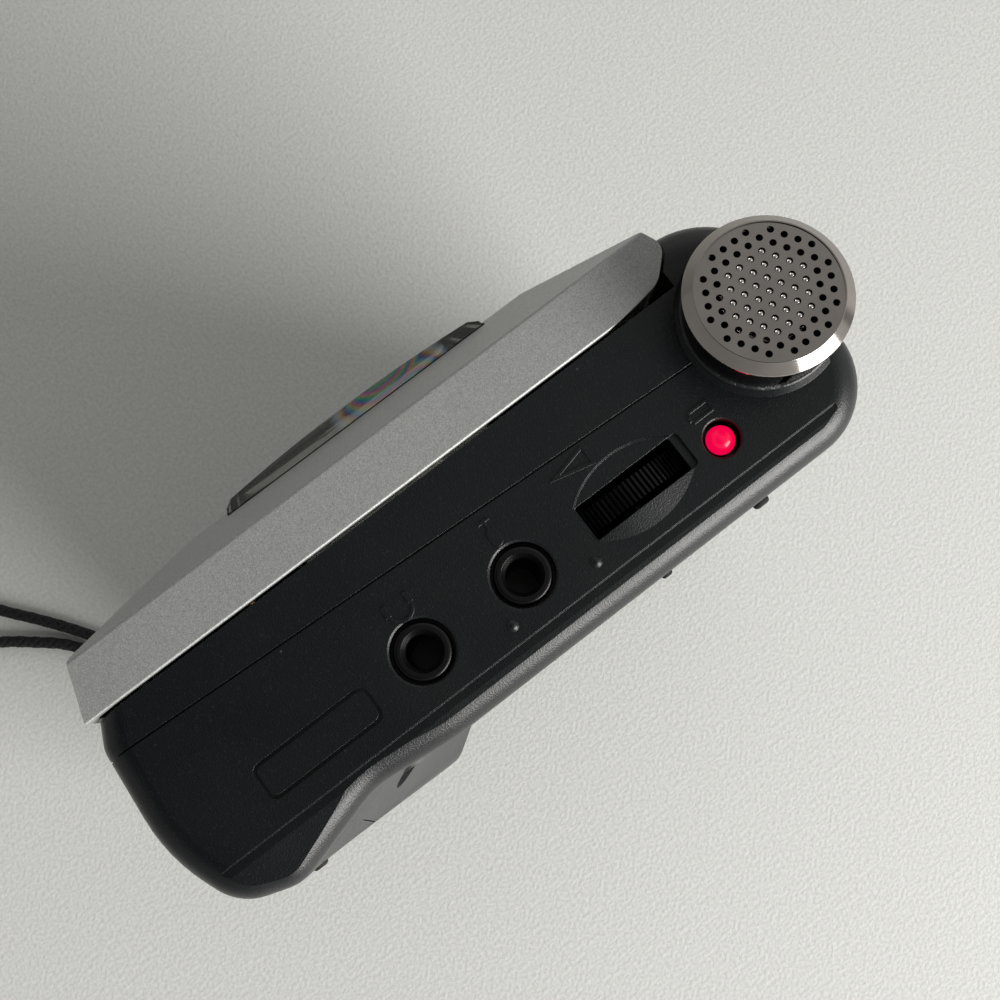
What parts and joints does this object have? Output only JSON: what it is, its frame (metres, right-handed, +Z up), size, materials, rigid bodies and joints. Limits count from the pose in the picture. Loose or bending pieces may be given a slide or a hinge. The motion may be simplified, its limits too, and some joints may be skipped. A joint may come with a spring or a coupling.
{
  "type": "handheld cassette recorder",
  "caption": "Handheld cassette recorder standing on end: hinged silver lid with clear window, side keys, corner microphone, jacks, thumbwheel volume, wrist strap.",
  "frame": {"origin": "on the surface the recorder stands on, under the middle of the case's bottom end", "axes": "+Z up along the case's length; +X towards the keys; +Y towards the back, away from the cassette lid"},
  "size_m": [0.1428, 0.0925, 0.1226],
  "materials": {
    "case_plastic": "fine-textured dark blue-grey moulded plastic",
    "bezel_plastic": "dark moulded plastic",
    "silver_lid": "silver paint with a fine grain on moulded plastic",
    "clear_plastic": "polished clear plastic",
    "key_plastic": "satin grey plastic",
    "red_key_plastic": "satin grey plastic with a red dot",
    "black_plastic": "black moulded plastic",
    "white_plastic": "off-white moulded plastic",
    "sheet_steel": "zinc-plated steel",
    "bright_chrome": "mirror chrome",
    "capsule_metal": "satin aluminium",
    "brass": "turned brass",
    "black_rubber": "matt black rubber",
    "board_laminate": "green coated laminate",
    "component_plastic": "moulded electronic parts",
    "lamp_plastic": "red tinted clear plastic, lit",
    "cone_paper": "black paper",
    "cell_jacket": "printed metal jacket without lettering",
    "braided_cord": "tightly braided black cord"
  },
  "bodies": {
    "case": {"rear_cabinet": "case_plastic", "front_cabinet": "case_plastic", "key_bezel": "bezel_plastic", "hinge_pins": "sheet_steel", "deck_plate": "sheet_steel", "deck_screws": "sheet_steel", "cabinet_screws": "sheet_steel", "flywheel_bracket": "sheet_steel", "capstan_bearing": "brass", "motor_can": "sheet_steel", "motor_standoffs": "sheet_steel", "drive_belt": "black_rubber", "ear_jack": "black_plastic", "mic_jack": "black_plastic", "jack_board": "board_laminate", "lamp": "lamp_plastic", "volume_control": "component_plastic", "main_board": "board_laminate", "board_parts": "component_plastic", "speaker_frame": "sheet_steel", "speaker_cone": "cone_paper", "battery_tray": "black_plastic", "cells": "cell_jacket", "battery_contacts": "sheet_steel", "mic_collar": "black_plastic", "mic_rim": "bright_chrome", "mic_grille": "bright_chrome", "mic_capsule": "capsule_metal", "mic_cushion": "black_rubber", "rubber_feet": "black_rubber", "strap_bar": "sheet_steel", "strap_eye": "braided_cord", "strap_strand_out": "braided_cord", "strap_strand_back": "braided_cord", "strap_coil": "braided_cord", "strap_tie": "braided_cord"},
    "lid": {"lid_shell": "silver_lid", "lid_window": "clear_plastic", "cassette_holder": "black_plastic", "holder_spring": "sheet_steel"},
    "head_carriage": {"head_plate": "sheet_steel", "record_play_head": "sheet_steel", "erase_head": "black_plastic"},
    "pinch_roller": {"pinch_roller": "black_rubber"},
    "flywheel": {"flywheel": "brass"},
    "motor_rotor": {"motor_pulley": "brass"},
    "takeup_idler": {"takeup_idler": "black_plastic"},
    "takeup_spindle": {"takeup_spindle": "white_plastic"},
    "supply_spindle": {"supply_spindle": "white_plastic"},
    "volume_wheel": {"volume_wheel": "black_plastic"},
    "battery_door": {"battery_door": "case_plastic"},
    "eject_latch": {"eject_latch": "white_plastic"},
    "pause_key": {"pause_key": "key_plastic"},
    "stop_eject_key": {"stop_eject_key": "key_plastic"},
    "cue_key": {"cue_key": "key_plastic"},
    "review_key": {"review_key": "key_plastic"},
    "play_key": {"play_key": "key_plastic"},
    "record_key": {"record_key": "red_key_plastic"}
  },
  "joints": [
    {"name": "lid_hinge", "type": "hinge", "parent": "case", "child": "lid", "pos_m": [0, -0.0105, 0.0086], "axis": [1, 0, 0], "range_deg": [0, 38]},
    {"name": "battery_door_hinge", "type": "hinge", "parent": "case", "child": "battery_door", "pos_m": [0.0338, 0.0172, 0.014], "axis": [-1, 0, 0], "range_deg": [0, 80]},
    {"name": "volume_turn", "type": "hinge", "parent": "case", "child": "volume_wheel", "pos_m": [-0.0167, 0.006, 0.1035], "axis": [0, 1, 0], "range_deg": [-135, 135]},
    {"name": "pause_key_slide", "type": "slide", "parent": "case", "child": "pause_key", "axis": [-1, 0, 0], "range_m": [0, 0.0024], "stiffness_N_per_m": 250},
    {"name": "stop_eject_key_slide", "type": "slide", "parent": "case", "child": "stop_eject_key", "axis": [-1, 0, 0], "range_m": [0, 0.0024], "stiffness_N_per_m": 250},
    {"name": "cue_key_slide", "type": "slide", "parent": "case", "child": "cue_key", "axis": [-1, 0, 0], "range_m": [0, 0.0024], "stiffness_N_per_m": 250},
    {"name": "review_key_slide", "type": "slide", "parent": "case", "child": "review_key", "axis": [-1, 0, 0], "range_m": [0, 0.0024], "stiffness_N_per_m": 250},
    {"name": "play_key_slide", "type": "slide", "parent": "case", "child": "play_key", "axis": [-1, 0, 0], "range_m": [0, 0.0024], "stiffness_N_per_m": 250},
    {"name": "record_key_slide", "type": "slide", "parent": "case", "child": "record_key", "axis": [-1, 0, 0], "range_m": [0, 0.0024], "stiffness_N_per_m": 250},
    {"name": "head_slide", "type": "slide", "parent": "case", "child": "head_carriage", "axis": [-1, 0, 0], "range_m": [0, 0.0028]},
    {"name": "eject_latch_slide", "type": "slide", "parent": "case", "child": "eject_latch", "axis": [-1, 0, 0], "range_m": [0, 0.0012]},
    {"name": "pinch_roller_spin", "type": "hinge", "parent": "head_carriage", "child": "pinch_roller", "pos_m": [0.033, -0.0099, 0.0818], "axis": [0, 1, 0], "continuous": true},
    {"name": "flywheel_spin", "type": "hinge", "parent": "case", "child": "flywheel", "pos_m": [0.0244, -0.0011, 0.0818], "axis": [0, 1, 0], "continuous": true},
    {"name": "motor_spin", "type": "hinge", "parent": "case", "child": "motor_rotor", "pos_m": [-0.027, -0.0012, 0.02], "axis": [0, 1, 0], "continuous": true},
    {"name": "idler_spin", "type": "hinge", "parent": "case", "child": "takeup_idler", "pos_m": [0.0117, -0.0025, 0.08192], "axis": [0, 1, 0], "continuous": true},
    {"name": "takeup_spin", "type": "hinge", "parent": "case", "child": "takeup_spindle", "pos_m": [-0.003, -0.008, 0.08205], "axis": [0, 1, 0], "continuous": true},
    {"name": "supply_spin", "type": "hinge", "parent": "case", "child": "supply_spindle", "pos_m": [-0.003, -0.008, 0.03955], "axis": [0, 1, 0], "continuous": true}
  ],
  "couplings": [
    {"joint": "head_slide", "follows": "play_key_slide", "ratio": 1.166},
    {"joint": "eject_latch_slide", "follows": "stop_eject_key_slide", "ratio": 0.5},
    {"joint": "motor_spin", "follows": "flywheel_spin", "ratio": 3.4615},
    {"joint": "idler_spin", "follows": "flywheel_spin", "ratio": -0.6535},
    {"joint": "takeup_spin", "follows": "flywheel_spin", "ratio": 0.7143}
  ]
}
